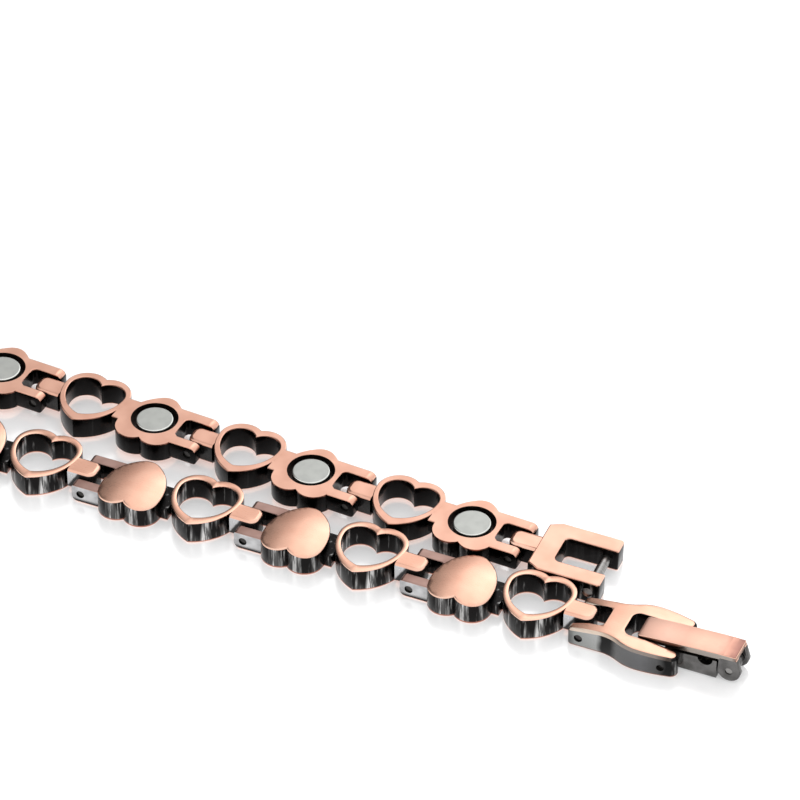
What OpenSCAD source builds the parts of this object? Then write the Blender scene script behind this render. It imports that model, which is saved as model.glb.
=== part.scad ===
/* [Links] */
// Thickness of the open heart and of the clasp's two frames
link_t = 1.95; // [1.9:0.05:2.2]
// Thickness of the fork's lugs
lug_t = 1.56; // [1.5:0.02:1.7]
// Rise of the solid heart's crown above the open heart
crown_rise = 0.18; // [0.1:0.02:0.6]
// Radius of the dome over the solid heart
dome_r = 17; // [12:1:40]
// Gap between the two hearts of a link, bridged by the neck
heart_gap = 0.38; // [0.3:0.02:1]
// Width of the neck between the hearts
neck_w = 2.6; // [1.6:0.1:3]
// Thickness of the neck, which lies flush with the inner face
neck_t = 1.1; // [0.8:0.1:1.4]

/* [Open heart] */
// Width of the open heart along the strand
open_w = 5.66; // [4.8:0.02:6.6]
// Reach of its two lobes from the centre line
open_far = 2.8; // [2.4:0.1:3.3]
// Reach of its tip from the centre line
open_near = 3.05; // [2.6:0.05:3.6]
// Depth of the dip between its lobes
open_dip = 0.29; // [0.15:0.02:0.6]
// Wall at the sides of the open heart
wall_side = 0.43; // [0.35:0.01:0.8]
// Wall above the lobes of the opening
wall_top = 0.62; // [0.4:0.02:0.9]
// Wall below the tip of the opening
wall_tip = 0.85; // [0.6:0.05:1.2]
// Depth of the cusp in the opening
cusp_dip = 0.6; // [0.3:0.05:0.9]

/* [Solid heart] */
// Width of the solid heart along the strand
solid_w = 5.1; // [4.6:0.05:5.8]
// Reach of its blunt tip from the centre line
solid_far = 2.74; // [2.4:0.02:3]
// Reach of its lobes from the centre line
solid_near = 2.99; // [2.6:0.02:3.2]
// Depth of the notch between its lobes
solid_dip = 0.42; // [0.2:0.02:0.6]
// Radius of its blunt tip
tip_r = 1.25; // [0.8:0.05:1.6]
// Radius of its bowed sides
bow_r = 4.2; // [4:0.1:8]

/* [Magnets] */
// Diameter of a magnet disc
magnet_d = 3; // [2.4:0.1:3.2]
// Height of a magnet disc
magnet_h = 0.85; // [0.6:0.05:1.1]
// Depth of its face below the inner face of the link
magnet_sink = 0.05; // [0.02:0.01:0.2]
// Diameter of the pocket round the magnet
pocket_d = 3.8; // [3.6:0.1:4]
// Depth of the pocket
pocket_deep = 0.92; // [0.7:0.02:1.2]

/* [Hinged joints] */
// Width of the tongue of a link
tongue_w = 1.85; // [1.5:0.05:2]
// Thickness of the tongue, a little less than the link's
tongue_t = 1.72; // [1.6:0.01:1.76]
// Distance from the open heart to its tongue's pin
tongue_reach = 1.44; // [1.36:0.01:1.9]
// Space between a tongue and each lug
tongue_play = 0.2; // [0.18:0.01:0.4]
// Width of a lug of the fork
lug_w = 0.92; // [0.7:0.01:1.2]
// Depth of the fork's slot beyond its pin
slot_deep = 1.66; // [1.5:0.02:2]
// Wall between the slot and the magnet's pocket
slot_wall = 0.42; // [0.3:0.02:0.8]
// Radius of the corners of the slots
slot_corner = 0.4; // [0.2:0.05:0.5]
// Radius of a link's pin
pin_r = 0.32; // [0.25:0.01:0.4]
// Depth of a pin's end below the side of the fork
pin_sink = 0.14; // [0.05:0.01:0.3]
// Radial clearance of a pin in the fork that holds it
pin_fit = 0.02; // [0.01:0.01:0.04]
// Radial clearance of a pin in the tongue that swings on it
pin_slack = 0.15; // [0.12:0.01:0.2]

/* [Clasp body] */
// Greatest width across the arms
arms_w = 5.65; // [5.2:0.05:6.4]
// Width across the ends of the arms
arms_end_w = 5.1; // [4.8:0.05:5.6]
// Length from the web to the pin in the arms
arms_l = 3.6; // [3.2:0.1:4.4]
// Length of the web between the fork's slot and the arms' slot
web_l = 1.65; // [1.2:0.05:2.4]
// Width of the slot between the arms
arms_slot_w = 2.66; // [2.4:0.02:3]
// Radius of the corners of the slot between the arms
arms_corner = 0.62; // [0.3:0.02:1]

/* [Clasp levers] */
// Side clearance of the clasp's tongue in the slot
lever_play = 0.1; // [0.06:0.01:0.2]
// Distance from the pin in the arms to the cover's pin
lever_l = 4.95; // [4.6:0.05:6]
// Height of the cover's pin above the inner face
cover_pin_z = 1; // [0.95:0.01:1.2]
// Radius of the round ears of the cover
ear_r = 0.92; // [0.8:0.01:0.95]
// Width of an ear of the cover
ear_w = 0.52; // [0.4:0.02:0.7]
// Height of the cover's underside above its pin
cover_rise = 0.92; // [0.87:0.01:1]
// Thickness of the cover
cover_t = 0.5; // [0.4:0.02:0.6]
// Width of the cover
cover_w = 2.36; // [2:0.02:2.6]
// Length of the cover from its pin to its free end
cover_l = 7.4; // [6.6:0.1:8]
// Reach of the cover past its pin
cover_lip = 0.6; // [0.3:0.05:0.8]
// Slope of the closed cover towards its free end
cover_slope = 3; // [1:0.5:4]
// Gap between the cover and the tongue below it
cover_gap = 0.29; // [0.22:0.01:0.36]
// Radius of the tongue's eye on the pin in the arms
eye_r = 0.5; // [0.44:0.01:0.51]
// Radius of the tongue's knuckle between the ears
knuckle_r = 0.6; // [0.5:0.01:0.62]
// Clearance of the tongue from the surface it lies on
tongue_lift = 0.06; // [0.04:0.01:0.12]
// Distance from the pin in the arms to the notch
notch_x = 3.05; // [2.6:0.05:3.4]
// Radius of the notch for the catch's cross pin
notch_r = 0.6; // [0.5:0.02:0.7]
// Radius of the two pins of the clasp
lever_pin_r = 0.28; // [0.22:0.01:0.3]
// Running clearance of the levers on their pins
lever_fit = 0.04; // [0.02:0.01:0.08]

/* [Catch] */
// Width of the catch's frame
catch_w = 5.75; // [5.2:0.05:6.4]
// Distance from its tongue's pin to the frame
catch_reach = 1.65; // [1.45:0.05:2.2]
// Length of the frame's closed end
catch_web = 1.75; // [1.2:0.05:2.4]
// Length of the opening up to the cross pin
catch_l = 3.35; // [2.6:0.05:4]
// Width of the opening
catch_open_w = 2.84; // [2.7:0.02:3.2]
// Length of the slanted corners of the closed end
catch_chamfer_l = 0.95; // [0.5:0.05:1.4]
// Depth of the slanted corners of the closed end
catch_chamfer_w = 0.5; // [0.2:0.05:0.9]
// Radius of the cross pin
cross_pin_r = 0.4; // [0.3:0.02:0.48]

/* [Lay of the chain] */
// Gap between the two strands where they are closest
strand_clear = 0.14; // [0.1:0.02:1]
// Angle at which the back strand closes on the front one
strand_turn = 3.5; // [0:0.1:5]
// Turn of the last back link away from the front strand
last_turn = 1; // [0:0.5:3]
// Further turn of the catch
catch_turn = 4; // [0:0.5:4.5]

/* [Hidden] */

copper = "#e0a585";
steel = "#55504e";
magnet_grey = "#c9c9c6";
dark = "#3b3634";
$fn = 48;

// Sides of the sphere that domes the solid heart, and points along the
// outlines: a heart's side, its lobe and its blunt tip, the flare of the
// clasp body and the taper of its arms
dome_sides = 96;
side_steps = 7;
lobe_steps = 11;
tip_steps = 9;
flare_steps = 8;
taper_steps = 5;

// Overrun of a cutter past the surface it cuts, and the height of the
// fork's slot above the lugs
over = 1;
slot_rise = 0.06;

// Plan of one link, measured from the pin of its fork
half_t = link_t / 2;
crown_t = link_t + crown_rise;
pin_z = lug_t / 2;
slot_w = tongue_w + 2 * tongue_play;
fork_w = slot_w + 2 * lug_w;
solid_x = slot_deep + slot_wall + pocket_d / 2;
open_x = solid_x + solid_w / 2 + heart_gap + open_w / 2;
pitch = open_x + open_w / 2 + tongue_reach;

// Clasp, measured from the pin of its fork. The arms are widest where they
// have gone swell_share of the way from the fork's slot to their pin.
swell_share = 0.62;
arms_slot_x = slot_deep + web_l;
arm_pin_x = arms_slot_x + arms_l;
swell_x = slot_deep + swell_share * (arm_pin_x - slot_deep);
cover_pin_x = arm_pin_x + lever_l;
lever_w = arms_slot_w - 2 * lever_play;

// Catch, measured from the pin of its tongue
cross_pin_x = catch_reach + catch_web + catch_l;

// Run of the chain: the front strand, the loop that stands past the far
// ends of the two strands, then the back strand. LIFT is the slope of each
// link of the loop as the chain runs away from the clasp, and SHARE is its
// part of the sideways shift from one strand to the other.
LIFT = 0;
SHARE = 1;
loop = [
    [37, 0.21],
    [48, 0.23],
    [-6, 0.18],
    [-84, 0.13],
    [-168, 0.13],
    [-180, 0.12]
];
front_links = 4;
loop_links = len(loop);
back_links = 4;
level_link = loop_links - 2;
links = front_links + loop_links + back_links;

clasp_x = -(slot_deep + web_l / 2);
back_z = crown_t - pin_z;
back_y = open_near + open_far + strand_clear
    + sin(strand_turn) * (back_links * pitch - open_x);

// Sideways slope of a loop link, from its share of the shift
function loop_side(i) = loop[i][SHARE] * back_y / pitch;

// Height gained by the loop up to its link i
function loop_rise(i) = i < 0 ? 0 :
    loop_rise(i - 1) + pitch * sin(loop[i][LIFT]) * sqrt(1 - pow(loop_side(i), 2));

// The link that comes down to the surface ends level with the back strand
landing = -180 - asin((back_z - pin_z - loop_rise(level_link - 1))
    / (pitch * sqrt(1 - pow(loop_side(level_link), 2))));

// Slope and sideways angle of link k, counted from the clasp
function lift(k) = k <= front_links ? 0 :
    k > front_links + loop_links ? -180 :
    k - front_links - 1 == level_link ? landing : loop[k - front_links - 1][LIFT];
function side(k) = k <= front_links ? 0 :
    k == links ? last_turn - strand_turn :
    k > front_links + loop_links ? -strand_turn :
    asin(loop_side(k - front_links - 1));

// Direction of travel along link k, and the place of its fork's pin
function way(lift, side) =
    [-cos(lift) * cos(side), sin(side), sin(lift) * cos(side)];
function fork_at(k) = k == 0 ? [clasp_x, 0, pin_z] :
    fork_at(k - 1) + pitch * way(lift(k), side(k));

catch_side = last_turn + catch_turn - strand_turn;
catch_lift = -180 + asin(crown_rise / cross_pin_x);

// Outline helpers
function arc(c, r, a, b, n) =
    [for (i = [0:n]) c + r * [cos(a + (b - a) * i / n), sin(a + (b - a) * i / n)]];
function tail(p) = [for (i = [1:len(p) - 1]) p[i]];
function both_sides(half) = concat(half,
    [for (i = [len(half) - 2:-1:1]) [-half[i][0], half[i][1]]]);

// Lobe radius of a heart, from its half width and the dip between its lobes
function lobe_r(hw, dip) = hw + dip - sqrt(2 * hw * dip);

// Heart with a sharp tip at -tip and its lobes' tops at top
function sharp_heart(hw, top, tip, dip) =
    let (r = lobe_r(hw, dip),
         y = top - r,
         a = (pow(y + tip, 2) - hw * hw) / (2 * hw),
         start = atan2(-(tip + y), a))
    both_sides(concat(
        arc([-a, y], a + hw, start, 0, side_steps),
        tail(arc([hw - r, y], r, 0, acos((r - hw) / r), lobe_steps))));

// Heart with a blunt tip of radius round_r at -tip and sides bowed to the
// radius side_r. The side's arc goes round the tip's and the lobe's circle
// and touches both, which sets its centre.
function blunt_heart(hw, top, tip, dip, round_r, side_r) =
    let (r = lobe_r(hw, dip),
         lobe = [hw - r, top - r],
         blunt = [0, round_r - tip],
         way = lobe - blunt,
         far = norm(way),
         along = (pow(side_r - round_r, 2) - pow(side_r - r, 2) + far * far) / (2 * far),
         aside = sqrt(pow(side_r - round_r, 2) - along * along),
         centre = blunt + (along * way + aside * [-way[1], way[0]]) / far,
         low = atan2(blunt[1] - centre[1], blunt[0] - centre[0]),
         high = atan2(lobe[1] - centre[1], lobe[0] - centre[0]))
    both_sides(concat(
        arc(blunt, round_r, -90, low, tip_steps),
        tail(arc(centre, side_r, low, high, side_steps)),
        tail(arc(lobe, r, high, acos((r - hw) / r), lobe_steps))));

// Moves a piece modelled on a fork's pin to its place on the chain
module on_chain(at, lift, side) {
    translate(at) rotate([0, lift, 0]) rotate([0, 0, -side])
        translate([0, 0, -pin_z]) children();
}

// Cylinder across the strand
module cross_bar(r, w, x, z) {
    translate([x, w / 2, z]) rotate([90, 0, 0]) cylinder(r = r, h = w);
}

// Cutter for a slot that ends at x in rounded corners and is open towards
// +X if way is 1, or towards -X if it is -1, from below up to the height
// top. At a pitch long, it runs out of the end of any piece.
module slot_cut(w, x, r, way, top) {
    translate([x, 0, -over]) scale([way, 1, 1]) linear_extrude(top + over) {
        translate([0, r - w / 2]) square([pitch, w - 2 * r]);
        translate([r, -w / 2]) square([pitch, w]);
        for (y = [r - w / 2, w / 2 - r]) translate([r, y]) circle(r = r);
    }
}

// Flat bar of a tongue between two distances along the strand
module tongue_bar(from, to) {
    translate([from, -tongue_w / 2, half_t - tongue_t / 2])
        cube([to - from, tongue_w, tongue_t]);
}

// Heart link
module link_plate() {
    difference() {
        union() {
            // Open heart
            translate([open_x, 0, 0]) linear_extrude(link_t)
                polygon(sharp_heart(open_w / 2, open_far, open_near, open_dip));
            // Solid heart, its notch towards the near side
            intersection() {
                translate([solid_x, 0, 0]) linear_extrude(crown_t) rotate(180)
                    polygon(blunt_heart(solid_w / 2, solid_near, solid_far,
                        solid_dip, tip_r, bow_r));
                translate([solid_x, 0, crown_t - dome_r])
                    sphere(r = dome_r, $fn = dome_sides);
            }
            // Neck
            translate([solid_x, -neck_w / 2, 0]) cube([open_x - solid_x, neck_w, neck_t]);
            // Tongue
            tongue_bar(open_x, pitch);
            cross_bar(tongue_t / 2, tongue_w, pitch, half_t);
            // Fork, a little lower than the hearts
            translate([0, -fork_w / 2, 0]) cube([solid_x, fork_w, lug_t]);
            cross_bar(pin_z, fork_w, 0, pin_z);
        }
        translate([open_x, 0, -over]) linear_extrude(link_t + 2 * over)
            polygon(sharp_heart(open_w / 2 - wall_side, open_far - wall_top,
                open_near - wall_tip, cusp_dip));
        translate([solid_x, 0, -over]) cylinder(d = pocket_d, h = pocket_deep + over);
        // The slot runs under the solid heart's edge
        slot_cut(slot_w, slot_deep, slot_corner, -1, lug_t + slot_rise);
        cross_bar(pin_r + pin_fit, fork_w + 2 * over, 0, pin_z);
        cross_bar(pin_r + pin_slack, tongue_w + 2 * over, pitch, pin_z);
    }
}

module link(k) {
    color(copper) on_chain(fork_at(k), lift(k), side(k)) link_plate();
}

// Magnet disc in the pocket of link k
module magnet(k) {
    color(magnet_grey) on_chain(fork_at(k), lift(k), side(k))
        translate([solid_x, 0, magnet_sink]) cylinder(d = magnet_d, h = magnet_h);
}

// Pin in the fork of link k, or of the clasp body at k = 0
module link_pin(k) {
    color(dark) on_chain(fork_at(k), lift(k), side(k))
        cross_bar(pin_r, fork_w - 2 * pin_sink, 0, pin_z);
}

// Share t of the way from a to b, and of the same way eased at both ends
function between(a, b, t) = a + (b - a) * t;
function eased(a, b, t) = between(a, b, (1 - cos(180 * t)) / 2);

// One side of the clasp body: straight along the fork, a flare to the
// widest place, and a taper to the ends of the arms
function body_side() = concat([[0, fork_w / 2]],
    [for (i = [0:flare_steps]) let (t = i / flare_steps)
        [between(slot_deep, swell_x, t), eased(fork_w, arms_w, t) / 2]],
    [for (i = [1:taper_steps]) let (t = i / taper_steps)
        [between(swell_x, arm_pin_x, t), between(arms_w, arms_end_w, t * t) / 2]]);

module clasp_body() {
    side = body_side();
    outline = concat([for (i = [len(side) - 1:-1:0]) side[i]],
        [for (p = side) [p[0], -p[1]]]);
    color(copper) translate([clasp_x, 0, 0]) difference() {
        union() {
            linear_extrude(link_t) polygon(outline);
            cross_bar(half_t, fork_w, 0, half_t);
            cross_bar(half_t, arms_end_w, arm_pin_x, half_t);
        }
        slot_cut(slot_w, slot_deep, slot_corner, -1, link_t + over);
        slot_cut(arms_slot_w, arms_slot_x, arms_corner, 1, link_t + over);
        cross_bar(pin_r + pin_fit, fork_w + 2 * over, 0, pin_z);
        cross_bar(lever_pin_r + pin_fit, arms_end_w + 2 * over, arm_pin_x, pin_z);
    }
}

module arm_pin() {
    color(dark) translate([clasp_x, 0, 0])
        cross_bar(lever_pin_r, arms_end_w - 2 * pin_sink, arm_pin_x, pin_z);
}

// Side profile across the strand, w wide
module profile(points, w) {
    translate([0, w / 2, 0]) rotate([90, 0, 0]) linear_extrude(w) polygon(points);
}

// Inner lever: a bar with the notch for the catch's cross pin, its eye on
// the pin in the arms and its narrow knuckle between the ears of the cover
module clasp_tongue() {
    eye_x = arm_pin_x + eye_r;
    ears_x = cover_pin_x - ear_r - lever_play;
    root_x = ears_x - lever_play;
    notch_at = arm_pin_x + notch_x;
    centre_w = cover_w - 2 * ear_w - 2 * lever_fit;
    function top(x) = cover_pin_z + cover_rise - cover_gap
        - (cover_pin_x - x) * tan(cover_slope);
    color(steel) translate([clasp_x, 0, 0]) difference() {
        union() {
            cross_bar(eye_r, lever_w, arm_pin_x, pin_z);
            profile([[arm_pin_x, pin_z - eye_r], [arm_pin_x + pin_z, tongue_lift],
                [ears_x, tongue_lift], [ears_x, top(ears_x)],
                [eye_x, top(eye_x)], [arm_pin_x, pin_z + eye_r]], lever_w);
            profile([[root_x, cover_pin_z - knuckle_r], [cover_pin_x, cover_pin_z - knuckle_r],
                [cover_pin_x, cover_pin_z + knuckle_r], [root_x, top(root_x) - lever_fit]],
                centre_w);
            cross_bar(knuckle_r, centre_w, cover_pin_x, cover_pin_z);
        }
        cross_bar(notch_r, lever_w + 2 * over, notch_at, top(notch_at));
        cross_bar(lever_pin_r + lever_fit, lever_w + 2 * over, arm_pin_x, pin_z);
        cross_bar(lever_pin_r + lever_fit, centre_w + 2 * over, cover_pin_x, cover_pin_z);
    }
}

// Outer lever, folded over the inner one, with an ear at each side
module clasp_cover() {
    color(copper) translate([clasp_x + cover_pin_x, 0, cover_pin_z]) difference() {
        union() {
            rotate([0, -cover_slope, 0]) translate([-cover_l, -cover_w / 2, cover_rise])
                cube([cover_l + cover_lip, cover_w, cover_t]);
            for (s = [-1, 1]) translate([0, s * (cover_w - ear_w) / 2, 0]) {
                cross_bar(ear_r, ear_w, 0, 0);
                translate([-ear_r / 2, -ear_w / 2, 0])
                    cube([ear_r, ear_w, cover_rise + cover_t / 2]);
            }
        }
        cross_bar(lever_pin_r + pin_fit, cover_w + 2 * over, 0, 0);
    }
}

module cover_pin() {
    color(dark) translate([clasp_x, 0, 0])
        cross_bar(lever_pin_r, cover_w - pin_sink, cover_pin_x, cover_pin_z);
}

// Catch frame, modelled with the pin of its tongue at the origin
module catch_frame() {
    x1 = catch_reach;
    x2 = catch_reach + catch_chamfer_l;
    y1 = catch_w / 2 - catch_chamfer_w;
    y2 = catch_w / 2;
    difference() {
        union() {
            cross_bar(tongue_t / 2, tongue_w, 0, half_t);
            tongue_bar(-x2, 0);
            linear_extrude(link_t) polygon([[-x1, y1], [-x2, y2], [-cross_pin_x, y2],
                [-cross_pin_x, -y2], [-x2, -y2], [-x1, -y1]]);
            cross_bar(half_t, catch_w, -cross_pin_x, half_t);
        }
        slot_cut(catch_open_w, -(catch_reach + catch_web), slot_corner, -1, link_t + over);
        cross_bar(pin_r + pin_slack, tongue_w + 2 * over, 0, pin_z);
        cross_bar(cross_pin_r + pin_fit, catch_w + 2 * over, -cross_pin_x, half_t);
    }
}

module catch() {
    color(copper) on_chain(fork_at(links), catch_lift, catch_side) catch_frame();
}

module catch_pin() {
    color(steel) on_chain(fork_at(links), catch_lift, catch_side)
        cross_bar(cross_pin_r, catch_w - 2 * pin_sink, -cross_pin_x, half_t);
}

link(1);  // link_01
link(2);  // link_02
link(3);  // link_03
link(4);  // link_04
link(5);  // link_05
link(6);  // link_06
link(7);  // link_07
link(8);  // link_08
link(9);  // link_09
link(10);  // link_10
link(11);  // link_11
link(12);  // link_12
link(13);  // link_13
link(14);  // link_14
magnet(1);  // magnet_01
magnet(2);  // magnet_02
magnet(3);  // magnet_03
magnet(4);  // magnet_04
magnet(5);  // magnet_05
magnet(6);  // magnet_06
magnet(7);  // magnet_07
magnet(8);  // magnet_08
magnet(9);  // magnet_09
magnet(10);  // magnet_10
magnet(11);  // magnet_11
magnet(12);  // magnet_12
magnet(13);  // magnet_13
magnet(14);  // magnet_14
link_pin(0);  // pin_00
link_pin(1);  // pin_01
link_pin(2);  // pin_02
link_pin(3);  // pin_03
link_pin(4);  // pin_04
link_pin(5);  // pin_05
link_pin(6);  // pin_06
link_pin(7);  // pin_07
link_pin(8);  // pin_08
link_pin(9);  // pin_09
link_pin(10);  // pin_10
link_pin(11);  // pin_11
link_pin(12);  // pin_12
link_pin(13);  // pin_13
link_pin(14);  // pin_14
clasp_body();
arm_pin();
clasp_tongue();
clasp_cover();
cover_pin();
catch();
catch_pin();
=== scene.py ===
import logging
import math
from dataclasses import dataclass, field
from enum import Enum
from typing import Callable, Iterable, Optional, Union

import bmesh
import bpy
from mathutils import Matrix, Vector
from mathutils.geometry import intersect_point_line


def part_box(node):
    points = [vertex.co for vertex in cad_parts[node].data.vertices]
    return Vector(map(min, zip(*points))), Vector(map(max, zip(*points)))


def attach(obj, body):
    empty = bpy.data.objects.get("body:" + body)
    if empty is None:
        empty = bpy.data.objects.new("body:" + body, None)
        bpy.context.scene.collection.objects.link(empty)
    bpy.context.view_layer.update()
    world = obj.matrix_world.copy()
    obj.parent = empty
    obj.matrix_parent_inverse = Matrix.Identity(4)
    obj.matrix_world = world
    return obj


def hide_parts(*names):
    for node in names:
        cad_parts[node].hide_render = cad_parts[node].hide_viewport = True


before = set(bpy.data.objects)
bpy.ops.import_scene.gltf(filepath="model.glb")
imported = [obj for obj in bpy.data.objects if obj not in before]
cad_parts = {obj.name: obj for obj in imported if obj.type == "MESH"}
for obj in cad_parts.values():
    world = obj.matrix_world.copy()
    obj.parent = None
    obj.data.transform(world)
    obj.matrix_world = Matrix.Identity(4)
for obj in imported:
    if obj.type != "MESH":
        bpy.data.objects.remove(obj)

Number = Union["Value", float]
Tint = tuple[float, float, float]
Place = tuple[float, float, float]
Point = tuple[float, float]
Colour = Union[Tint, bpy.types.NodeSocket]

LOG = logging.getLogger("bracelet")
# Pieces are drawn in millimetres and placed in metres
MM = 0.001
# The attribute that keeps each point's place on its own piece
LAY = "lay"
LINKS = 14
BLACK = (0.012, 0.011, 0.011)
# How far a point may lie from a level that it belongs to
NEAR = 0.01
# The least slope at which a face still counts as lying up or down
LEVEL = 0.35


class Finish(Enum):
    """The finishes that the faces of the bracelet's pieces take; several carry painted light or
    shade.
    """

    FACE = "copper_face"
    INNER = "copper_inner"
    EDGE = "copper_edge"
    PAINTED_SHADE = "copper_shade"
    SIDE = "dark_side"
    SHADED_LUG = "lug_top"
    LIT_CHEEK = "lug_cheek"
    LIT_WEDGE = "tongue_side"
    HIGHLIGHT_BAND = "bright_band"
    LIT_FLANK = "clasp_flank"
    LIT_LIP = "cover_side"
    LIT_COVER = "cover_top"
    LEVER = "lever_steel"
    MAGNET = "magnet_face"
    MAGNET_RIM = "magnet_rim"
    WELL = "pocket_wall"
    PIN = "pin_steel"


class Value:
    """A number on a shader socket that takes part in Python sums."""

    def __init__(self, tree: bpy.types.NodeTree, socket: bpy.types.NodeSocket) -> None:
        """Keeps the tree and the socket."""
        self.tree = tree
        self.socket = socket

    def _math(self, operation: str, first: Number, second: Number) -> "Value":
        """Adds one Math node.

        Args:
            operation: The node's operation.
            first: Its first term.
            second: Its second term.

        Returns:
            The node's result.
        """
        node = self.tree.nodes.new("ShaderNodeMath")
        node.operation = operation
        for slot, term in zip(node.inputs, (first, second)):
            if isinstance(term, Value):
                self.tree.links.new(term.socket, slot)
            else:
                slot.default_value = term
        return Value(self.tree, node.outputs[0])

    def __add__(self, other: Number) -> "Value":
        """Sum."""
        return self._math("ADD", self, other)

    def __radd__(self, other: Number) -> "Value":
        """Sum with a plain number first."""
        return self._math("ADD", other, self)

    def __sub__(self, other: Number) -> "Value":
        """Difference."""
        return self._math("SUBTRACT", self, other)

    def __rsub__(self, other: Number) -> "Value":
        """Difference from a plain number."""
        return self._math("SUBTRACT", other, self)

    def __mul__(self, other: Number) -> "Value":
        """Product."""
        return self._math("MULTIPLY", self, other)

    def __rmul__(self, other: Number) -> "Value":
        """Product with a plain number first."""
        return self._math("MULTIPLY", other, self)

    def ramp(self, start: float, end: float) -> "Value":
        """Rises smoothly from 0 at start to 1 at end.

        Args:
            start: Where the result is 0.
            end: Where the result is 1; it may lie below start.

        Returns:
            The eased share, kept between 0 and 1.
        """
        node = self.tree.nodes.new("ShaderNodeMapRange")
        node.interpolation_type = "SMOOTHSTEP"
        self.tree.links.new(self.socket, node.inputs["Value"])
        if start < end:
            node.inputs["From Min"].default_value = start
            node.inputs["From Max"].default_value = end
            return Value(self.tree, node.outputs["Result"])
        node.inputs["From Min"].default_value = end
        node.inputs["From Max"].default_value = start
        return 1 - Value(self.tree, node.outputs["Result"])


class Paint:
    """One material with its nodes."""

    def __init__(self, name: str, metallic: float, roughness: float) -> None:
        """Makes a material with one Principled shader.

        Args:
            name: The material's name.
            metallic: Its metallic share.
            roughness: Its roughness, where no node feeds it.
        """
        self.material = bpy.data.materials.new(name)
        self.material.use_nodes = True
        self.tree = self.material.node_tree
        self.shader = self.tree.nodes["Principled BSDF"]
        self.shader.inputs["Metallic"].default_value = metallic
        self.shader.inputs["Roughness"].default_value = roughness

    def node(self, kind: str, settings: Optional[dict] = None,
             sockets: Optional[dict] = None) -> bpy.types.Node:
        """Adds any node.

        Args:
            kind: The node's type without its ShaderNode prefix.
            settings: Attributes set first; "stops" gives a ramp's stops.
            sockets: Values or links of its input sockets, by name or index.

        Returns:
            The new node.
        """
        made = self.tree.nodes.new("ShaderNode" + kind)
        for name, value in (settings or {}).items():
            if name == "stops":
                ramp = made.color_ramp
                for at, tint in value[1:-1]:
                    ramp.elements.new(at).color = (*tint, 1)
                ramp.elements[0].color = (*value[0][1], 1)
                ramp.elements[-1].color = (*value[-1][1], 1)
            else:
                setattr(made, name, value)
        for name, value in (sockets or {}).items():
            slot = made.inputs[name]
            if isinstance(value, Value):
                self.tree.links.new(value.socket, slot)
            elif isinstance(value, bpy.types.NodeSocket):
                self.tree.links.new(value, slot)
            else:
                slot.default_value = value
        return made

    def value(self, socket: bpy.types.NodeSocket) -> Value:
        """Wraps a socket for sums."""
        return Value(self.tree, socket)

    def lay(self) -> bpy.types.NodeSocket:
        """The place on the piece in its own millimetres."""
        return self.node("Attribute", {"attribute_name": LAY}).outputs["Vector"]

    def axes(self, place: bpy.types.NodeSocket) -> tuple[Value, Value, Value]:
        """The three numbers of a place."""
        parts = self.node("SeparateXYZ", None, {0: place})
        return tuple(self.value(parts.outputs[i]) for i in range(3))

    def front(self) -> Value:
        """1 on the front strand's near sides, 0 on the back strand: the mask for the painted shade
        on the back strand's walls.
        """
        place = self.node("TexCoord").outputs["Object"]
        return (self.axes(place)[1] * (1 / MM)).ramp(3.4, 2.9)

    def stretched(self, place: bpy.types.NodeSocket, scale: Place) -> bpy.types.NodeSocket:
        """A place scaled along each axis."""
        return self.node("Mapping", None, {0: place, "Scale": scale}).outputs[0]

    def brushing(self, place: bpy.types.NodeSocket) -> Value:
        """Fine brush lines along the strand."""
        return self.noise(self.stretched(place, (0.5, 9, 9)), 2.6, 5.0, 0.65)

    def noise(self, place: bpy.types.NodeSocket, scale: float, detail: float = 2.0,
              roughness: float = 0.5) -> Value:
        """Noise between 0 and 1.

        Args:
            place: Where it is read.
            scale: Its scale.
            detail: Its octaves.
            roughness: The weight of the finer octaves.

        Returns:
            The noise.
        """
        made = self.node("TexNoise", None, {0: place, "Scale": scale, "Detail": detail,
                                            "Roughness": roughness})
        return self.value(made.outputs[0])

    def mixed(self, share: Number, first: Colour, second: Colour) -> bpy.types.NodeSocket:
        """Mix of two colours.

        Args:
            share: The share of the second colour.
            first: The colour at a share of 0.
            second: The colour at a share of 1.

        Returns:
            The mixed colour's socket.
        """
        pair = [(*c, 1) if isinstance(c, tuple) else c for c in (first, second)]
        made = self.node("Mix", {"data_type": "RGBA"}, {0: share, 6: pair[0], 7: pair[1]})
        return made.outputs[2]

    def feed(self, socket: str, source: Union[Value, bpy.types.NodeSocket]) -> None:
        """Links a result to a socket of the shader."""
        self.tree.links.new(getattr(source, "socket", source), self.shader.inputs[socket])

    def bump(self, height: Value, depth: float, strength: float) -> None:
        """Feeds the shader's normal from a height.

        Args:
            height: The height, between 0 and 1.
            depth: What a height of 1 stands for, in millimetres.
            strength: The strength of the effect.
        """
        made = self.node("Bump", None, {"Strength": strength, "Distance": depth * MM,
                                        "Height": height})
        self.feed("Normal", made.outputs[0])


@dataclass(frozen=True)
class BrushedCopper:
    """Copper plate with fine brush lines along the strand."""

    name: str
    light: Tint
    deep: Tint
    roughness: float
    brushed: float = 0.03
    wave: float = 0.04
    grain: float = 0.0002

    def make(self) -> bpy.types.Material:
        """Builds the material.

        Returns:
            The material.
        """
        paint = Paint(self.name, 1.0, self.roughness)
        place = paint.lay()
        lines = paint.brushing(place)
        cloud = paint.noise(place, 0.42, 2.0)
        speck = paint.noise(place, 9.0, 3.0)
        tint = paint.mixed((cloud.ramp(0.3, 0.7) * 0.75 + lines * 0.25), self.deep, self.light)
        paint.feed("Base Color", paint.mixed(speck.ramp(0.66, 0.8) * 0.12, tint, self.deep))
        paint.feed("Roughness", self.roughness + (lines - 0.5) * self.brushed * 2)
        wave = paint.noise(place, 0.3, 1.0)
        paint.bump(wave + lines * (self.grain / self.wave), self.wave, 1.0)
        return paint.material


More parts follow.
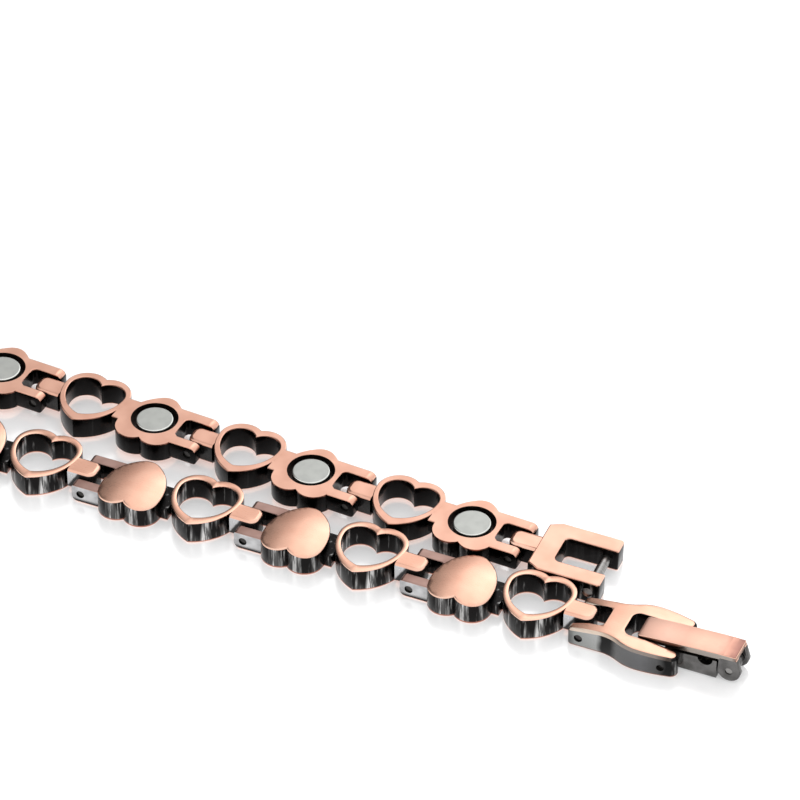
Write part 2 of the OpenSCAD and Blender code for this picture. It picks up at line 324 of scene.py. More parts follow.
@dataclass(frozen=True)
class DarkSide:
    """Polished dark wall with a copper foot and upright light streaks, which are painted
    reflections, left off on the back strand as painted shade.
    """

    name: str
    dark: Tint = BLACK
    highlight_streak: Tint = (0.80, 0.79, 0.78)
    foot: Tint = (0.42, 0.19, 0.14)
    foot_at: float = 0.1
    foot_soft: float = 0.05

    def make(self) -> bpy.types.Material:
        """Builds the material.

        Returns:
            The material.
        """
        paint = Paint(self.name, 1.0, 0.2)
        place = paint.lay()
        z = paint.axes(place)[2]
        upright = paint.stretched(place, (1.0, 1.0, 0.09))
        wide = paint.noise(upright, 1.15, 1.0)
        fine = paint.noise(upright, 4.2, 3.0, 0.6)
        # Painted reflections: light streaks in the base colour, faded to black on the back strand
        # as painted shade.
        streak_highlights = wide.ramp(0.5, 0.66) * (fine.ramp(0.42, 0.62) * 0.85 + 0.1)
        streak_highlights = (streak_highlights + fine.ramp(0.6, 0.74) * 0.3) * (paint.front() * 0.98 + 0.02)
        body = paint.mixed(streak_highlights, self.dark, self.highlight_streak)
        paint.feed("Base Color", paint.mixed(z.ramp(self.foot_at + self.foot_soft,
                                                    self.foot_at), body, self.foot))
        paint.feed("Roughness", 0.16 + fine * 0.16)
        paint.bump(fine, 0.01, 0.2)
        return paint.material


@dataclass(frozen=True)
class Steel:
    """Plain polished or satin metal with soft clouds and scratches."""

    name: str
    light: Tint
    deep: Tint
    roughness: float
    scratches: float = 0.3
    # Height below which the painted shade turns the metal black near its foot; 0 leaves it off.
    foot: float = 0.0
    metallic: float = 1.0

    def make(self) -> bpy.types.Material:
        """Builds the material.

        Returns:
            The material.
        """
        paint = Paint(self.name, self.metallic, self.roughness)
        place = paint.lay()
        cloud = paint.noise(place, 0.9, 2.0)
        lines = paint.noise(paint.stretched(place, (1.2, 12, 12)), 1.6, 4.0, 0.6)
        share = cloud.ramp(0.32, 0.68) * (1 - self.scratches) + lines * self.scratches
        tint = paint.mixed(share, self.deep, self.light)
        # Painted shade: black below the foot and on the back strand; the lighter tint above stands
        # in for lit metal.
        if self.foot:
            height = paint.axes(place)[2]
            bright = height.ramp(self.foot / 3, self.foot) * paint.front()
            tint = paint.mixed(bright, BLACK, tint)
            paint.feed("Metallic", 1 - bright * (1 - self.metallic))
        paint.feed("Base Color", tint)
        paint.feed("Roughness", self.roughness + (lines - 0.5) * 0.14)
        paint.bump(lines, 0.003, 0.2)
        return paint.material


@dataclass(frozen=True)
class TongueSide:
    """Dark side of a tongue with a bright wedge below its root, painted light, left off on the
    back strand as painted shade.
    """

    name: str
    root: float
    top: float = 1.95
    run: float = 0.95
    depth: float = 1.5

    def make(self) -> bpy.types.Material:
        """Builds the material.

        Returns:
            The material.
        """
        paint = Paint(self.name, 0.4, 0.24)
        place = paint.lay()
        x, _, z = paint.axes(place)
        cloud = paint.noise(place, 2.0, 2.0)
        # Painted light: the grey wedge stands in for the lit part of the side.
        reach = (x - self.root) * (1 / self.run) + (self.top - z) * (1 / self.depth)
        share = (reach + cloud * 0.2).ramp(1.15, 0.95) * paint.front()
        paint.feed("Base Color", paint.mixed(share, (0.014, 0.013, 0.013), (0.56, 0.56, 0.57)))
        paint.feed("Roughness", 0.2 + cloud * 0.12)
        return paint.material


@dataclass(frozen=True)
class LitAlongMetal:
    """Metal of the clasp whose tone changes along the piece, in painted light and shade."""

    name: str
    light_stops: tuple[tuple[float, Tint], ...]
    metallic: float
    roughness: float
    deep: Tint = (0.05, 0.045, 0.04)
    foot: float = 0.0

    def make(self) -> bpy.types.Material:
        """Builds the material.

        Returns:
            The material.
        """
        paint = Paint(self.name, self.metallic, self.roughness)
        place = paint.lay()
        x, _, z = paint.axes(place)
        first, last = self.light_stops[0][0], self.light_stops[-1][0]
        stops = tuple(((at - first) / (last - first), tint) for at, tint in self.light_stops)
        lines = paint.brushing(place)
        cloud = paint.noise(place, 0.8, 2.0)
        # Painted light and shade: the stops along the piece stand in for reflections and shade.
        share = (x + (cloud - 0.5) * 0.8 - first) * (1 / (last - first))
        tint = paint.node("ValToRGB", {"stops": stops}, {0: share}).outputs[0]
        tint = paint.mixed(lines.ramp(0.4, 0.8) * 0.2, tint, self.deep)
        if self.foot:
            tint = paint.mixed(z.ramp(self.foot * 1.5, self.foot), tint, (0.20, 0.09, 0.07))
        paint.feed("Base Color", tint)
        paint.feed("Roughness", self.roughness + (lines - 0.5) * 0.12)
        paint.bump(lines, 0.003, 0.2)
        return paint.material


@dataclass(frozen=True)
class PalePlane:
    """The pale, slightly glossy surface that the bracelet lies on."""

    name: str
    tint: Tint
    roughness: float
    gloss: float = 3.3
    glow: float = 0.34

    def make(self) -> bpy.types.Material:
        """Builds the material.

        Returns:
            The material.
        """
        paint = Paint(self.name, 0.0, self.roughness)
        paint.shader.inputs["IOR"].default_value = self.gloss
        paint.shader.inputs["Emission Color"].default_value = (1, 1, 1, 1)
        paint.shader.inputs["Emission Strength"].default_value = self.glow
        place = paint.node("TexCoord").outputs["Object"]
        cloud = paint.noise(place, 6.0, 2.0)
        paint.feed("Base Color", paint.mixed(cloud * 0.5, self.tint, (0.86, 0.86, 0.863)))
        paint.feed("Roughness", self.roughness + (cloud - 0.5) * 0.04)
        return paint.material


class Sky:
    """The light that comes from all round."""

    def __init__(self, tree: bpy.types.NodeTree) -> None:
        """Keeps the world's nodes."""
        self.tree = tree
        self.way = tree.nodes.new("ShaderNodeTexCoord").outputs["Generated"]

    def toward(self, way: Place) -> Value:
        """How far a direction lies toward another one, from -1 to 1.

        Args:
            way: The other direction, of length 1.

        Returns:
            The cosine of the angle between them.
        """
        dot = self.tree.nodes.new("ShaderNodeVectorMath")
        dot.operation = "DOT_PRODUCT"
        self.tree.links.new(self.way, dot.inputs[0])
        dot.inputs[1].default_value = way
        return Value(self.tree, dot.outputs["Value"])

    def shine(self, strength: Value) -> None:
        """Feeds the strength of the light.

        Args:
            strength: The strength in each direction.
        """
        back = self.tree.nodes["Background"]
        back.inputs["Color"].default_value = (1.0, 0.996, 0.992, 1)
        self.tree.links.new(strength.socket, back.inputs["Strength"])


class Wardrobe:
    """All finishes, made once."""

    def __init__(self) -> None:
        """Makes the materials."""
        looks = {
            Finish.FACE: BrushedCopper("copper_face", (0.86, 0.51, 0.38), (0.74, 0.40, 0.29),
                                       0.28),
            Finish.INNER: BrushedCopper("copper_inner", (0.85, 0.50, 0.38), (0.70, 0.38, 0.28),
                                        0.32),
            # Painted highlight: lighter copper for bevels that face the light.
            Finish.EDGE: BrushedCopper("copper_edge", (0.92, 0.60, 0.47), (0.84, 0.47, 0.35),
                                       0.26),
            # Painted shade: darker copper for bevels and ends that face away or down, standing in
            # for the shade they fall in.
            Finish.PAINTED_SHADE: BrushedCopper("copper_shade", (0.42, 0.25, 0.18), (0.26, 0.15, 0.11),
                                        0.3),
            Finish.SIDE: DarkSide("dark_side"),
            # Painted shade: darker copper on the lug tops, which lie in the shade of the heart and
            # ring.
            Finish.SHADED_LUG: BrushedCopper("lug_top", (0.46, 0.30, 0.26), (0.26, 0.15, 0.125),
                                      0.36),
            # Painted light and shade: light grey lug sides on the front strand, black near the
            # foot and on the back strand.
            Finish.LIT_CHEEK: Steel("lug_cheek", (0.62, 0.62, 0.63), (0.30, 0.295, 0.30), 0.24,
                                foot=0.45, metallic=0.4),
            # Painted light: a lit wedge on the tongue sides.
            Finish.LIT_WEDGE: TongueSide("tongue_side", 12.45),
            # Painted highlight: a light band along the clasp's top bevel, fading to dark toward
            # the arms' ends.
            Finish.HIGHLIGHT_BAND: LitAlongMetal("bright_band", (
                (-1.0, (0.45, 0.36, 0.30)), (-0.4, (0.68, 0.56, 0.47)), (1.7, (0.70, 0.58, 0.48)),
                (2.5, (0.58, 0.45, 0.36)), (3.6, (0.30, 0.26, 0.23)), (6.4, (0.26, 0.22, 0.20)),
                (7.4, (0.06, 0.05, 0.045))), 1.0, 0.26, (0.3, 0.2, 0.15)),
            # Painted reflections and shade along the clasp's sides: light grey at the fork, black
            # at the flare, dark grey on the arms.
            Finish.LIT_FLANK: LitAlongMetal("clasp_flank", (
                (-1.0, (0.05, 0.05, 0.05)), (-0.3, (0.26, 0.27, 0.26)), (1.5, (0.36, 0.365, 0.36)),
                (1.95, (0.015, 0.015, 0.015)), (2.7, (0.012, 0.012, 0.012)),
                (3.3, (0.12, 0.12, 0.12)), (5.4, (0.13, 0.13, 0.135)), (6.7, (0.08, 0.08, 0.08)),
                (7.3, (0.01, 0.01, 0.01))), 0.95, 0.24, (0.03, 0.03, 0.03), 0.09),
            # Painted light and shade along the cover's sides: dark at the free end and at the
            # hinge.
            Finish.LIT_LIP: LitAlongMetal("cover_side", (
                (-7.4, (0.17, 0.11, 0.09)), (-4.2, (0.18, 0.12, 0.10)), (-3.2, (0.32, 0.28, 0.25)),
                (0.2, (0.34, 0.30, 0.27)), (0.6, (0.10, 0.07, 0.06))), 1.0, 0.28),
            # Painted light and shade along the cover's top: lighter and darker bands, dark at the
            # hinge end.
            Finish.LIT_COVER: LitAlongMetal("cover_top", (
                (-7.4, (0.84, 0.50, 0.40)), (-6.6, (0.90, 0.55, 0.43)), (-5.4, (0.92, 0.56, 0.44)),
                (-3.9, (0.84, 0.48, 0.37)), (-2.5, (0.90, 0.55, 0.42)), (-1.1, (0.84, 0.48, 0.37)),
                (-0.5, (0.64, 0.34, 0.26)), (0.2, (0.34, 0.17, 0.14)), (0.6, (0.22, 0.11, 0.09))),
                1.0, 0.3, (0.70, 0.38, 0.28)),
            Finish.LEVER: Steel("lever_steel", (0.165, 0.16, 0.158), (0.08, 0.078, 0.076),
                                0.24),
            Finish.MAGNET: Steel("magnet_face", (0.53, 0.54, 0.515), (0.44, 0.45, 0.43), 0.42,
                                 0.4),
            # Painted highlight: the magnets' rounded rim is lighter than their face.
            Finish.MAGNET_RIM: Steel("magnet_rim", (0.84, 0.85, 0.82), (0.72, 0.73, 0.70),
                                     0.25),
            Finish.WELL: Steel("pocket_wall", (0.16, 0.13, 0.12), (0.05, 0.04, 0.038), 0.3),
            Finish.PIN: Steel("pin_steel", (0.12, 0.115, 0.11), (0.03, 0.03, 0.03), 0.3),
        }
        self.made = {finish: look.make() for finish, look in looks.items()}

    def dress(self, piece: bpy.types.Object, choose: Callable[[Vector, Vector], Finish]) -> None:
        """Gives each face of a piece its finish.

        Args:
            piece: The piece, with its faces still in its own millimetres.
            choose: Picks a finish from a face's centre and normal.
        """
        slots: list[Finish] = []
        for face in piece.data.polygons:
            finish = choose(face.center, face.normal)
            if finish not in slots:
                slots.append(finish)
                piece.data.materials.append(self.made[finish])
            face.material_index = slots.index(finish)


@dataclass(frozen=True)
class Turn:
    """One arc of an outline about a centre, through an angle in degrees."""

    centre: Point
    angle: float
    steps: int = 8


class Form:
    """A solid in the making, in millimetres."""

    def __init__(self, mesh: Optional[bmesh.types.BMesh] = None) -> None:
        """Starts empty, or from a mesh."""
        self.mesh = mesh or bmesh.new()

    def trace(self, start: Point, moves: Iterable[Union[Turn, Point]]) -> None:
        """Draws an outline in the XY plane.

        Args:
            start: The first point.
            moves: Arcs, and points that straight lines run to.
        """
        tip = self.mesh.verts.new((*start, 0))
        for move in moves:
            if isinstance(move, Turn):
                made = bmesh.ops.spin(
                    self.mesh, geom=[tip], cent=(*move.centre, 0), axis=(0, 0, 1),
                    dvec=(0, 0, 0), angle=math.radians(move.angle), space=Matrix(),
                    steps=move.steps, use_merge=False, use_normal_flip=False,
                    use_duplicate=False)
                tip = next(v for v in made["geom_last"] if isinstance(v, bmesh.types.BMVert))
            else:
                made = bmesh.ops.extrude_vert_indiv(self.mesh, verts=[tip])
                tip = made["verts"][0]
                tip.co = (*move, 0)

    def mirrored(self, axis: str) -> "Form":
        """Adds the mirror image and joins the halves.

        Args:
            axis: The axis that changes its sign, X or Y.

        Returns:
            The form itself.
        """
        bmesh.ops.mirror(self.mesh, geom=self.mesh.verts[:] + self.mesh.edges[:],
                         matrix=Matrix(), merge_dist=1e-4, axis=axis)
        return self.welded()

    def welded(self, reach: float = 1e-4) -> "Form":
        """Merges points that coincide."""
        bmesh.ops.remove_doubles(self.mesh, verts=self.mesh.verts[:], dist=reach)
        return self

    def raised(self, low: float, high: float, holed: bool = False) -> "Form":
        """Fills the outlines and raises them to a solid.

        Args:
            low: Height of the underside.
            high: Height of the top.
            holed: Whether one outline lies inside another.

        Returns:
            The form itself.
        """
        self.welded()
        if holed:
            bmesh.ops.triangle_fill(self.mesh, edges=self.mesh.edges[:], use_beauty=True,
                                    use_dissolve=False, normal=(0, 0, 1))
        else:
            bmesh.ops.contextual_create(self.mesh, geom=self.mesh.edges[:])
        bmesh.ops.translate(self.mesh, verts=self.mesh.verts[:], vec=(0, 0, low))
        grown = bmesh.ops.extrude_face_region(self.mesh, geom=self.mesh.faces[:])["geom"]
        bmesh.ops.translate(self.mesh, vec=(0, 0, high - low),
                            verts=[g for g in grown if isinstance(g, bmesh.types.BMVert)])
        return self.facing_out()

    def facing_out(self) -> "Form":
        """Turns all faces outwards."""
        bmesh.ops.recalc_face_normals(self.mesh, faces=self.mesh.faces[:])
        return self

    def closed(self) -> "Form":
        """Closes slits where a point of one face lies on the edge of another.

        Returns:
            The form itself.
        """
        for _ in range(12):
            rim = [e for e in self.mesh.edges if e.is_boundary]
            points = list(dict.fromkeys(v for e in rim for v in e.verts))
            for edge in rim:
                first, last = (v.co.copy() for v in edge.verts)
                shares = [intersect_point_line(v.co, first, last) for v in points
                          if v not in edge.verts]
                shares = [share for spot, share in shares if 0.001 < share < 0.999
                          and min((v.co - spot).length for v in points) < 5e-4]
                if shares:
                    bmesh.utils.edge_split(edge, edge.verts[0], min(shares))
                    self.welded(5e-4)
                    break
            else:
                break
        return self

    def upright(self) -> "Form":
        """Turns a profile drawn in XY so that its Y becomes Z.

        Returns:
            The form itself.
        """
        bmesh.ops.rotate(self.mesh, verts=self.mesh.verts[:], cent=(0, 0, 0),
                         matrix=Matrix.Rotation(math.radians(90), 3, "X"))
        return self

    def moved(self, shift: Place) -> "Form":
        """Shifts the form."""
        bmesh.ops.translate(self.mesh, verts=self.mesh.verts[:], vec=shift)
        return self

    def softened(self, width: float, segments: int = 2,
                 where: Callable[[Vector], bool] = lambda at: True,
                 least: float = 50.0, clamp: bool = True) -> "Form":
        """Rounds the sharp edges.

        Args:
            width: Width of the rounding.
            segments: Its facets.
            where: Tells from an edge's middle whether it is rounded.
            least: Smallest angle between the faces of a rounded edge.
            clamp: Whether short edges keep the rounding narrow.

        Returns:
            The form itself.
        """
        sharp = [e for e in self.mesh.edges
                 if e.is_manifold and math.degrees(e.calc_face_angle(0)) > least
                 and where((e.verts[0].co + e.verts[1].co) / 2)]
        bmesh.ops.bevel(self.mesh, geom=sharp, offset=width, offset_type="OFFSET",
                        affect="EDGES", segments=segments, profile=0.5, material=-1,
                        clamp_overlap=clamp, loop_slide=True)
        return self

    def sliced(self, step: float) -> "Form":
        """Cuts the top into a fine grid, so that it can be bent.

        Args:
            step: Width of the grid's squares.

        Returns:
            The form itself.
        """
        for axis in (Vector((1, 0, 0)), Vector((0, 1, 0))):
            along = [v.co @ axis for v in self.mesh.verts]
            at = min(along) + step / 2
            while at < max(along):
                caps = [f for f in self.mesh.faces if f.normal.z > 0.9]
                edges = dict.fromkeys(e for f in caps for e in f.edges)
                points = dict.fromkeys(v for f in caps for v in f.verts)
                bmesh.ops.bisect_plane(self.mesh, geom=[*caps, *edges, *points], dist=1e-4,
                                       plane_co=axis * at, plane_no=axis)
                at += step
        return self

    def lowered(self, above: float, drop: Callable[[Vector], float]) -> "Form":
        """Lowers the points of the top.

        Args:
            above: Only points above this height move.
            drop: How far a point goes down.

        Returns:
            The form itself.
        """
        for vertex in self.mesh.verts:
            if vertex.co.z > above:
                vertex.co.z -= drop(vertex.co)
        return self

    def piece(self, name: str) -> bpy.types.Object:
        """Makes an object of the form.

        Args:
            name: The object's name.

        Returns:
            The object.
        """
        data = bpy.data.meshes.new(name)
        self.mesh.to_mesh(data)
        made = bpy.data.objects.new(name, data)
        bpy.context.scene.collection.objects.link(made)
        return made

    def cut(self, other: "Form", how: str = "DIFFERENCE") -> "Form":
        """Joins or cuts two forms.

        Args:
            other: The other form, used up here.
            how: UNION, DIFFERENCE or INTERSECT.

        Returns:
            The joined form.
        """
        pair = [form.piece("part_in_the_making") for form in (self, other)]
        step = pair[0].modifiers.new("join", "BOOLEAN")
        step.object, step.operation, step.solver = pair[1], how, "EXACT"
        view = bpy.context.evaluated_depsgraph_get()
        joined = bmesh.new()
        joined.from_mesh(pair[0].evaluated_get(view).to_mesh())
        for made in pair:
            data = made.data
            bpy.data.objects.remove(made)
            bpy.data.meshes.remove(data)
        self.mesh.free()
        other.mesh.free()
        return Form(joined).welded(2e-4)

    def join(self, other: "Form") -> "Form":
        """Unites two forms."""
        return self.cut(other, "UNION")


def block(low: Place, high: Place) -> Form:
    """A block between two corners.

    Args:
        low: The lowest corner.
        high: The highest corner.

    Returns:
        The block.
    """
    form = Form()
    size = Vector(high) - Vector(low)
    bmesh.ops.create_cube(form.mesh, size=1.0, matrix=Matrix.Translation(
        (Vector(low) + Vector(high)) / 2) @ Matrix.Diagonal((*size, 1)))
    return form


def rod(radius: float, length: float, x: float, z: float, sides: int = 32) -> Form:
    """A round bar across the strand.

    Args:
        radius: Its radius.
        length: Its length.
        x: Its place along the strand.
        z: Its height.
        sides: Its facets.

    Returns:
        The bar.
    """
    form = Form()
    bmesh.ops.create_cone(
        form.mesh, cap_ends=True, segments=sides, radius1=radius, radius2=radius,
        depth=length, matrix=Matrix.Translation((x, 0, z)) @ Matrix.Rotation(math.pi / 2, 4, "X"))
    return form


def disc(radius: float, low: float, high: float, x: float, sides: int = 64) -> Form:
    """A standing cylinder.

    Args:
        radius: Its radius.
        low: Height of its underside.
        high: Height of its top.
        x: Its place along the strand.
        sides: Its facets.

    Returns:
        The cylinder.
    """
    form = Form()
    bmesh.ops.create_cone(
        form.mesh, cap_ends=True, segments=sides, radius1=radius, radius2=radius,
        depth=high - low, matrix=Matrix.Translation((x, 0, (low + high) / 2)))
    return form


def profile(start: Point, moves: Iterable[Union[Turn, Point]], width: float) -> Form:
    """A solid with one side outline all across the strand.

    Args:
        start: First point of the outline, along the strand and up.
        moves: Its arcs and lines.
        width: The solid's width.

    Returns:
        The solid.
    """
    form = Form()
    form.trace(start, moves)
    return form.raised(-width / 2, width / 2).upright()


def slot(width: float, end: float, corner: float, mouth: float, low: float, high: float) -> Form:
    """A cutter for a slot with rounded inner corners.

    Args:
        width: The slot's width.
        end: Its closed end along the strand.
        corner: The radius of its corners.
        mouth: Where the cutter ends, past the open end.
        low: Height of the cutter's underside.
        high: Height of its top.

    Returns:
        The cutter.
    """
    way = math.copysign(1, mouth - end)
    side = width / 2
    form = Form()
    form.trace((end, 0), [(end, side - corner),
                          Turn((end + way * corner, side - corner), -90 * way, 6),
                          (mouth, side), (mouth, 0)])
    return form.mirrored("Y").raised(low, high)


@dataclass(frozen=True)
class Seat:
    """Where a copy of a piece goes, and which CAD node it stands for."""

    name: str
    node: str
    where: Matrix
    body: str = "bracelet"
    metal: str = "copper"

    def fill(self, pattern: bpy.types.Object) -> None:
        """Puts a copy of a piece here.

        Args:
            pattern: The piece in its own millimetres.
        """
        made = pattern.copy()
        made.data = pattern.data.copy()
        made.name = made.data.name = self.name
        bpy.context.scene.collection.objects.link(made)
        made.data.transform(Matrix.Scale(MM, 4) @ self.where)
        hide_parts(self.node)
        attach(made, self.body)
        LOG.info("%s: %d faces", self.name, len(made.data.polygons))


def show(form: Form, wardrobe: Wardrobe, choose: Callable[[Vector, Vector], Finish],
         seats: Iterable[Seat]) -> None:
    """Dresses a form and puts a copy of it in each of its seats.

    Args:
        form: The form in its own millimetres, used up here.
        wardrobe: The finishes.
        choose: Picks a face's finish from its centre and normal.
        seats: Where the copies go.
    """
    form.closed().facing_out()
    pattern = form.piece("pattern")
    form.mesh.free()
    data = pattern.data
    data.set_sharp_from_angle(angle=math.radians(28))
    for face in data.polygons:
        face.use_smooth = abs(face.normal.z) < 0.99999 or (
            face.area < 0.13 and face.center.z > 0.02)
    wardrobe.dress(pattern, choose)
    lay = data.attributes.new(LAY, "FLOAT_VECTOR", "POINT")
    for vertex, place in zip(data.vertices, lay.data):
        place.vector = vertex.co
    for seat in seats:
        seat.fill(pattern)
    bpy.data.objects.remove(pattern)
    bpy.data.meshes.remove(data)


def middle(node: str) -> Vector:
    """Centre of a CAD node in millimetres."""
    low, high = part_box(node)
    return (low + high) / 2 / MM


def spin_radius(half: float, dip: float) -> float:
    """Radius of a heart's lobes from its half width and its dip."""
    return half + dip - math.sqrt(2 * half * dip)


@dataclass
class Hinge:
    """What the fork and the tongue of every joint share."""

    tongue_w: float = 1.85
    slot_w: float = 2.25
    fork_w: float = 4.09
    slot_deep: float = 1.66
    corner: float = 0.4
    pin_z: float = 0.78
    bore: float = 0.34
    lug_t: float = 1.56
    tongue_end: float = 0.62
    tongue_corner: float = 0.66
    tongue_soft: float = 0.28

    def tongue(self, root: float, pin: float, low: float, high: float) -> Form:
        """The tongue between its root and its pin, rounded at its end.

        Args:
            root: Where it leaves the piece.
            pin: Where its pin is.
            low: Height of its underside.
            high: Height of its top.

        Returns:
            The tongue.
        """
        way = math.copysign(1, pin - root)
        end, side, r = pin + way * self.tongue_end, self.tongue_w / 2, self.tongue_corner
        form = Form()
        form.trace((root, 0), [(root, side), (end - way * r, side),
                               Turn((end - way * r, side - r), -90 * way, 10), (end, 0)])
        form.mirrored("Y").raised(low, high)
        return form.softened(self.tongue_soft, 4, lambda at: (at.x - root) * way > 0.05
                             and (at.z < low + NEAR or at.z > high - NEAR), clamp=False)


@dataclass
class HeartLink:
    """One link: fork, solid heart, neck, open heart and tongue."""

    hinge: Hinge = field(default_factory=Hinge)
    thick: float = 1.95
    crown: float = 2.13
    dome: float = 13.5
    pitch: float = 14.01
    open_x: float = 9.74
    open_w: float = 5.66
    open_far: float = 2.8
    open_near: float = 3.05
    open_dip: float = 0.29
    wall_side: float = 0.43
    wall_top: float = 0.62
    wall_tip: float = 0.85
    cusp: float = 0.6
    solid_x: float = 3.98
    solid_w: float = 5.1
    solid_far: float = 2.74
    solid_near: float = 2.99
    solid_dip: float = 0.42
    tip_r: float = 1.25
    bow_r: float = 4.2
    pocket_r: float = 1.9
    pocket_deep: float = 0.92
    neck_w: float = 2.6
    neck_t: float = 1.1
    lug_low_r: float = 0.55
    lug_high_r: float = 0.28
    ring_edge: float = 0.08
    heart_rim: float = 0.13
    low_edge: float = 0.07
    neck_edge: float = 0.075
    neck_low: float = 0.003
    tongue_low: float = 0.13
    tongue_drop: float = 0.015
    grid: float = 0.33

    def sharp_heart(self, half: float, top: float, tip: float, dip: float) -> Form:
        """Outline of the open heart about its centre.

        Args:
            half: Half its width.
            top: Reach of its lobes.
            tip: Reach of its tip.
            dip: Depth of the dip between the lobes.

        Returns:
            The outline.
        """
        r = spin_radius(half, dip)
        y = top - r
        a = ((y + tip) ** 2 - half * half) / (2 * half)
        rise = math.degrees(math.atan2(tip + y, a))
        form = Form()
        form.trace((0, -tip), [Turn((-a, y), rise, 14),
                               Turn((half - r, y), math.degrees(math.acos((r - half) / r)), 22)])
        return form.mirrored("X")

    def blunt_heart(self) -> Form:
        """Outline of the solid heart about its centre, its lobes up.

        Returns:
            The outline.
        """
        half, dip = self.solid_w / 2, self.solid_dip
        r = spin_radius(half, dip)
        lobe = Vector((half - r, self.solid_near - r))
        blunt = Vector((0, self.tip_r - self.solid_far))
        way = lobe - blunt
        far = way.length
        along = ((self.bow_r - self.tip_r) ** 2 - (self.bow_r - r) ** 2 + far * far) / (2 * far)
        aside = math.sqrt((self.bow_r - self.tip_r) ** 2 - along * along)
        centre = blunt + (along * way + aside * Vector((-way.y, way.x))) / far
        low = math.degrees(math.atan2(blunt.y - centre.y, blunt.x - centre.x))
        high = math.degrees(math.atan2(lobe.y - centre.y, lobe.x - centre.x))
        last = math.degrees(math.acos((r - half) / r))
        form = Form()
        form.trace((0, -self.solid_far), [Turn(tuple(blunt), low + 90, 12),
                                          Turn(tuple(centre), high - low, 14),
                                          Turn(tuple(lobe), last - high, 22)])
        return form.mirrored("X")

    def ring(self) -> Form:
        """The open heart.

        Returns:
            The ring at its place on the link.
        """
        form = self.sharp_heart(self.open_w / 2, self.open_far, self.open_near, self.open_dip)
        inner = self.sharp_heart(self.open_w / 2 - self.wall_side, self.open_far - self.wall_top,
                                 self.open_near - self.wall_tip, self.cusp)
        data = bpy.data.meshes.new("inner_outline")
        inner.mesh.to_mesh(data)
        form.mesh.from_mesh(data)
        bpy.data.meshes.remove(data)
        form.raised(0, self.thick, True)
        neck = self.neck_w / 2
        form.softened(self.ring_edge, 2, lambda at: at.z > self.thick - NEAR
                      or (at.z < NEAR and not (at.x < 0.3 - self.open_w / 2
                                               and abs(at.y) < neck)))
        return form.moved((self.open_x, 0, 0))

    def heart(self) -> Form:
        """The solid heart with its domed top.

        Returns:
            The heart at its place on the link.
        """
        form = self.blunt_heart().raised(0, self.crown)
        bmesh.ops.rotate(form.mesh, verts=form.mesh.verts[:], cent=(0, 0, 0),
                         matrix=Matrix.Rotation(math.pi, 3, "Z"))
        form.softened(self.heart_rim, 3, lambda at: at.z > self.crown - NEAR, clamp=False)
        neck, fork = self.neck_w / 2, self.hinge.fork_w / 2
        form.softened(self.low_edge, 2, lambda at: at.z < NEAR
                      and abs(at.y) > (neck if at.x > 0 else fork))
        form.sliced(self.grid).lowered(self.crown / 2, lambda at:
                                  self.dome - math.sqrt(self.dome ** 2 - at.xy.length_squared))
        return form.moved((self.solid_x, 0, 0))

    def fork(self) -> Form:
        """The fork with its two lugs.

        Returns:
            The fork, without its bore.
        """
        h = self.hinge
        low, high, end = self.lug_low_r, self.lug_high_r, -h.lug_t / 2
        form = profile((self.solid_x, 0), [
            (end + low, 0), Turn((end + low, low), -90, 8), (end, h.lug_t - high),
            Turn((end + high, h.lug_t - high), -90, 6), (self.solid_x, h.lug_t),
            (self.solid_x, 0)], h.fork_w)
        form = form.cut(slot(h.slot_w, h.slot_deep, h.corner, -4, -1, 3))
        return form.softened(self.low_edge, 2, lambda at: at.x < self.solid_x - 0.1)

    def solid(self) -> Form:
        """The whole link.

        Returns:
            The link, measured from the pin of its fork.
        """
        h = self.hinge
        heart = self.heart().cut(slot(h.slot_w, h.slot_deep, h.corner, -4, -1, h.lug_t + 0.06))
        root = self.open_x + self.open_w / 2 - self.wall_side * 0.5
        form = self.ring().join(h.tongue(root, self.pitch, self.tongue_low,
                                         self.thick - self.tongue_drop))
        side = self.neck_w / 2
        neck = block((self.solid_x + 1.2, -side, self.neck_low),
                     (self.open_x - self.open_w / 2 + 0.25, side, self.neck_t))
        neck.softened(self.neck_edge, 2, lambda at: at.z < NEAR and abs(at.y) > side - NEAR)
        form = form.join(neck).join(self.fork().join(heart))
        form = form.cut(disc(self.pocket_r, -1, self.pocket_deep, self.solid_x))
        return form.cut(rod(h.bore, h.fork_w + 2, 0, h.pin_z))

    def choose(self, at: Vector, normal: Vector) -> Finish:
        """Finish of a face of the link.

        Args:
            at: The face's centre.
            normal: Its normal.

        Returns:
            The finish.
        """
        h = self.hinge
        spot = (Vector((at.x, at.y)) - Vector((self.solid_x, 0))).length
        if spot < self.pocket_r + 0.02 and 0.02 < at.z < self.pocket_deep + 0.02:
            return Finish.WELL
        if abs(normal.y) < 0.5 and Vector((at.x, at.z - h.pin_z)).length < h.bore + 0.02:
            return Finish.PIN
        # Underside bevels that face away take the painted shade.
        if normal.z < -LEVEL:
            return Finish.PAINTED_SHADE if normal.y > 0.25 else Finish.INNER
        if normal.z > LEVEL and at.z < self.neck_t + 0.02 and self.solid_x < at.x < self.open_x:
            return Finish.SIDE
        fork = at.x < 1.75 and at.z < h.lug_t + 0.02
        if normal.z > LEVEL:
            # Lug tops take the painted shade.
            if fork:
                return Finish.SHADED_LUG
            # Flat tops take plain copper; sloping bevels take the painted highlight, or the
            # painted shade where they face away.
            if normal.z > 0.93:
                return Finish.FACE
            return Finish.PAINTED_SHADE if normal.y > 0.25 else Finish.EDGE
        # Lug sides take the painted light and shade.
        if abs(normal.y) > 0.8 and fork and abs(at.y) > 1.9:
            return Finish.LIT_CHEEK
        # Tongue sides near the pin take the painted lit wedge.
        return Finish.LIT_WEDGE if at.x > self.pitch - 1.45 and abs(at.y) < 0.95 else Finish.SIDE

